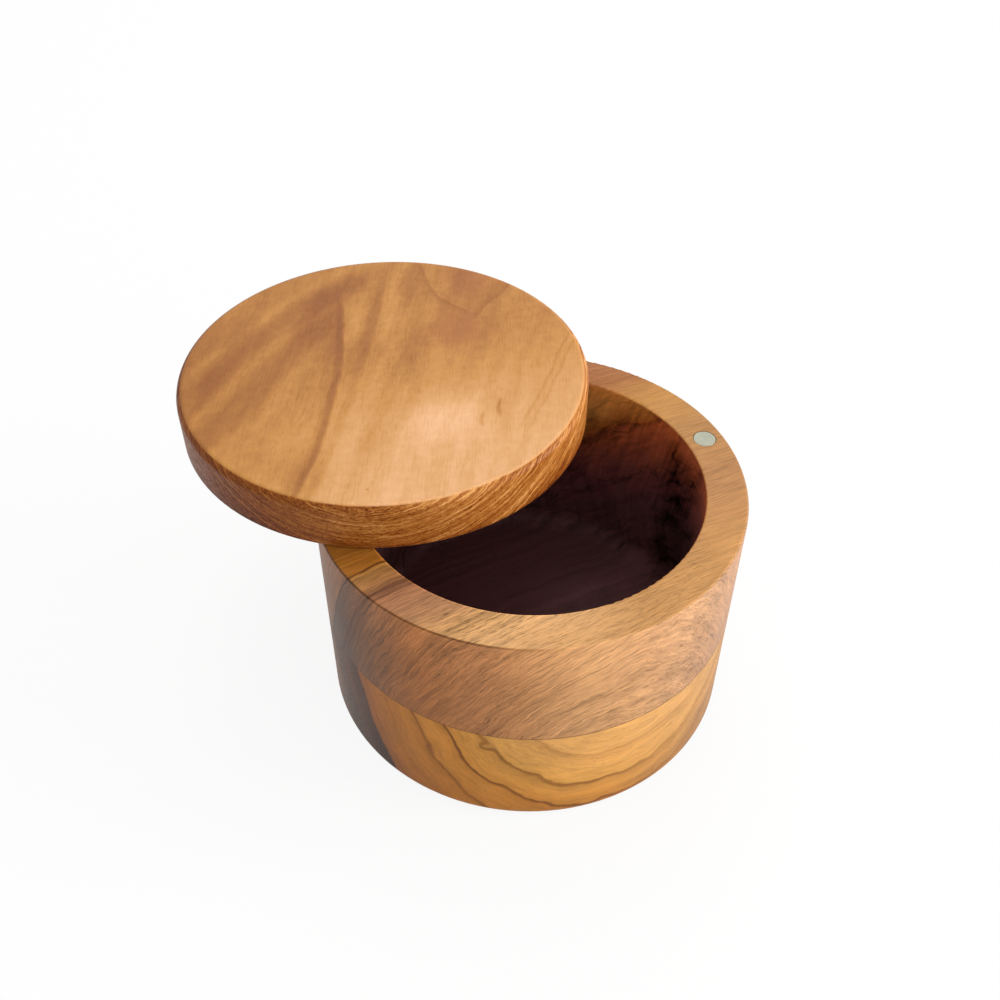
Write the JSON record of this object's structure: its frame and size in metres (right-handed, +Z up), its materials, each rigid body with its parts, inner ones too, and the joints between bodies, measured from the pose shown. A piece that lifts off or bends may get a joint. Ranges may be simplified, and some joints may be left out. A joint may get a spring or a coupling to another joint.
{
  "type": "salt box with swivel lid",
  "caption": "Round turned wooden salt box with a thick disc lid that swings flat over the rim about a hidden upright pin and is held shut by magnets.",
  "frame": {"origin": "centre of the flat underside, on the axis of the round box", "axes": "+Z up along the axis of the box; the lid's upright pin stands on the -X side of the wall, and the rim's magnet faces it on the +X side"},
  "size_m": [0.108, 0.123, 0.0648],
  "materials": {
    "lower_wood": "oiled satin, golden with dark curved growth lines, dark oiled inside",
    "upper_wood": "oiled satin, pinkish tan with fine fibres, dark oiled inside",
    "lid_wood": "oiled satin, honey tan with soft brown growth lines",
    "sleeve_brass": "drawn tube, turned bore",
    "pin_steel": "ground",
    "magnet_nickel": "satin nickel plating"
  },
  "bodies": {
    "box": {"lower_bowl": "lower_wood", "upper_ring": "upper_wood", "pivot_sleeve": "sleeve_brass", "rim_magnet": "magnet_nickel"},
    "swivel_lid": {"lid": "lid_wood", "pivot_pin": "pin_steel", "lid_magnet": "magnet_nickel"}
  },
  "joints": [
    {"name": "lid_swivel", "type": "hinge", "parent": "box", "child": "swivel_lid", "pos_m": [-0.04025, 0, 0.054], "axis": [0, 0, 1], "continuous": true}
  ]
}
